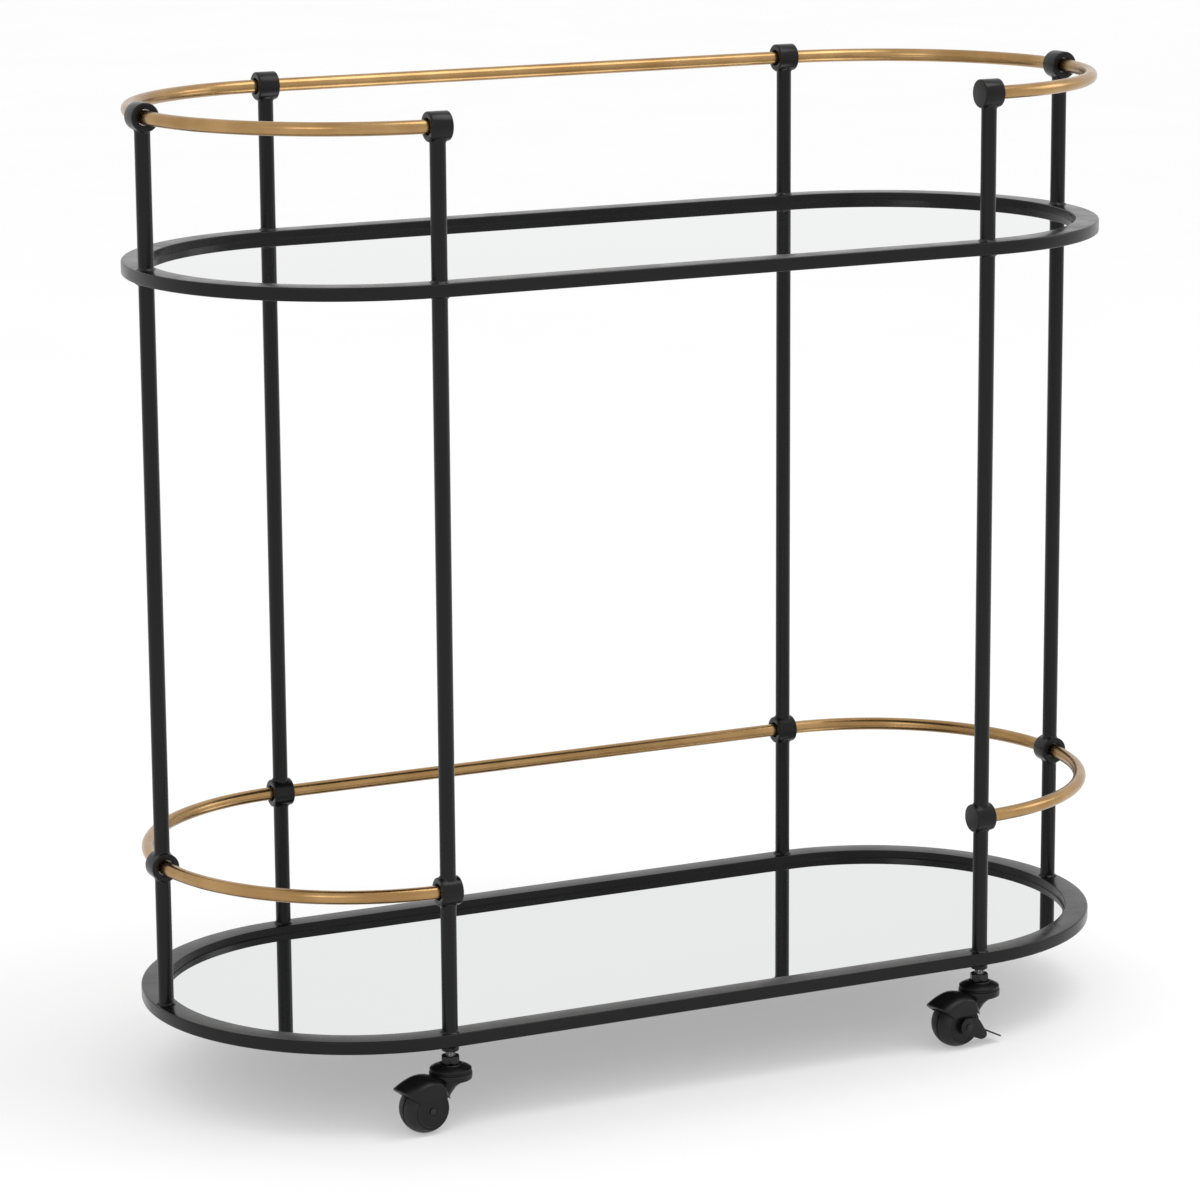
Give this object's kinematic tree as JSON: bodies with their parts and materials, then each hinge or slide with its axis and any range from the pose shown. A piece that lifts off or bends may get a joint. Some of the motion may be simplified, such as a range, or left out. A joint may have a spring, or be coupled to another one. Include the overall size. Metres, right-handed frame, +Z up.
{
  "type": "bar cart",
  "caption": "Stadium-shaped two-tier bar cart on swivel casters: mirror shelves in black flat-bar frames, slim round posts and brass gallery rails open at the front.",
  "frame": {"origin": "on the floor under the wheels, at the middle of the cart's outline", "axes": "+X along the cart's length, to the right seen from its open front; -Y towards the open front; +Z up"},
  "size_m": [0.8592, 0.3952, 0.8096],
  "materials": {
    "frame_black": "satin black powder coat",
    "rail_brass": "satin brushed brass plate",
    "mirror_glass": "clear silvered mirror",
    "backing_black": "matt black board",
    "caster_black": "satin black moulded nylon",
    "stem_steel": "black zinc plate"
  },
  "bodies": {
    "chassis": {"lower_shelf_frame": "frame_black", "lower_mirror": "mirror_glass", "lower_backing_panel": "backing_black", "lower_rail": "rail_brass", "upper_shelf_frame": "frame_black", "upper_mirror": "mirror_glass", "upper_backing_panel": "backing_black", "upper_rail": "rail_brass", "post_front_left": "frame_black", "foot_post_front_left": "frame_black", "lower_collar_front_left": "frame_black", "upper_collar_front_left": "frame_black", "post_front_right": "frame_black", "foot_post_front_right": "frame_black", "lower_collar_front_right": "frame_black", "upper_collar_front_right": "frame_black", "post_back_left": "frame_black", "foot_post_back_left": "frame_black", "lower_collar_back_left": "frame_black", "upper_collar_back_left": "frame_black", "post_back_right": "frame_black", "foot_post_back_right": "frame_black", "lower_collar_back_right": "frame_black", "upper_collar_back_right": "frame_black", "post_left": "frame_black", "foot_post_left": "frame_black", "lower_collar_left": "frame_black", "upper_collar_left": "frame_black", "post_right": "frame_black", "foot_post_right": "frame_black", "lower_collar_right": "frame_black", "upper_collar_right": "frame_black", "caster_stem_front_left": "stem_steel", "swivel_cap_front_left": "caster_black", "caster_stem_front_right": "stem_steel", "swivel_cap_front_right": "caster_black", "caster_stem_back_left": "stem_steel", "swivel_cap_back_left": "caster_black", "caster_stem_back_right": "stem_steel", "swivel_cap_back_right": "caster_black"},
    "caster_front_left": {"caster_fork_front_left": "caster_black", "axle_front_left": "stem_steel"},
    "wheel_a_front_left": {"wheel_a_front_left": "caster_black"},
    "wheel_b_front_left": {"wheel_b_front_left": "caster_black"},
    "caster_front_right": {"caster_fork_front_right": "caster_black", "axle_front_right": "stem_steel"},
    "wheel_a_front_right": {"wheel_a_front_right": "caster_black"},
    "wheel_b_front_right": {"wheel_b_front_right": "caster_black"},
    "brake_front_right": {"brake_lever_front_right": "caster_black"},
    "caster_back_left": {"caster_fork_back_left": "caster_black", "axle_back_left": "stem_steel"},
    "wheel_a_back_left": {"wheel_a_back_left": "caster_black"},
    "wheel_b_back_left": {"wheel_b_back_left": "caster_black"},
    "brake_back_left": {"brake_lever_back_left": "caster_black"},
    "caster_back_right": {"caster_fork_back_right": "caster_black", "axle_back_right": "stem_steel"},
    "wheel_a_back_right": {"wheel_a_back_right": "caster_black"},
    "wheel_b_back_right": {"wheel_b_back_right": "caster_black"}
  },
  "joints": [
    {"name": "swivel_front_left", "type": "hinge", "parent": "chassis", "child": "caster_front_left", "pos_m": [-0.244, -0.174, 0.0424], "axis": [0, 0, 1], "continuous": true},
    {"name": "roll_a_front_left", "type": "hinge", "parent": "caster_front_left", "child": "wheel_a_front_left", "pos_m": [-0.26945, -0.17826, 0.02], "axis": [0.165, -0.9863, 0], "continuous": true},
    {"name": "roll_b_front_left", "type": "hinge", "parent": "caster_front_left", "child": "wheel_b_front_left", "pos_m": [-0.26945, -0.17826, 0.02], "axis": [0.165, -0.9863, 0], "continuous": true},
    {"name": "swivel_front_right", "type": "hinge", "parent": "chassis", "child": "caster_front_right", "pos_m": [0.244, -0.174, 0.0424], "axis": [0, 0, 1], "continuous": true},
    {"name": "roll_a_front_right", "type": "hinge", "parent": "caster_front_right", "child": "wheel_a_front_right", "pos_m": [0.21855, -0.17826, 0.02], "axis": [0.165, -0.9863, 0], "continuous": true},
    {"name": "roll_b_front_right", "type": "hinge", "parent": "caster_front_right", "child": "wheel_b_front_right", "pos_m": [0.21855, -0.17826, 0.02], "axis": [0.165, -0.9863, 0], "continuous": true},
    {"name": "brake_front_right", "type": "hinge", "parent": "caster_front_right", "child": "brake_front_right", "pos_m": [0.21855, -0.17826, 0.02], "axis": [0.165, -0.9863, 0], "range_deg": [0, 22]},
    {"name": "swivel_back_left", "type": "hinge", "parent": "chassis", "child": "caster_back_left", "pos_m": [-0.244, 0.174, 0.0424], "axis": [0, 0, 1], "continuous": true},
    {"name": "roll_a_back_left", "type": "hinge", "parent": "caster_back_left", "child": "wheel_a_back_left", "pos_m": [-0.26945, 0.17826, 0.02], "axis": [-0.165, -0.9863, 0], "continuous": true},
    {"name": "roll_b_back_left", "type": "hinge", "parent": "caster_back_left", "child": "wheel_b_back_left", "pos_m": [-0.26945, 0.17826, 0.02], "axis": [-0.165, -0.9863, 0], "continuous": true},
    {"name": "brake_back_left", "type": "hinge", "parent": "caster_back_left", "child": "brake_back_left", "pos_m": [-0.26945, 0.17826, 0.02], "axis": [-0.165, -0.9863, 0], "range_deg": [0, 22]},
    {"name": "swivel_back_right", "type": "hinge", "parent": "chassis", "child": "caster_back_right", "pos_m": [0.244, 0.174, 0.0424], "axis": [0, 0, 1], "continuous": true},
    {"name": "roll_a_back_right", "type": "hinge", "parent": "caster_back_right", "child": "wheel_a_back_right", "pos_m": [0.21855, 0.17826, 0.02], "axis": [-0.165, -0.9863, 0], "continuous": true},
    {"name": "roll_b_back_right", "type": "hinge", "parent": "caster_back_right", "child": "wheel_b_back_right", "pos_m": [0.21855, 0.17826, 0.02], "axis": [-0.165, -0.9863, 0], "continuous": true}
  ]
}
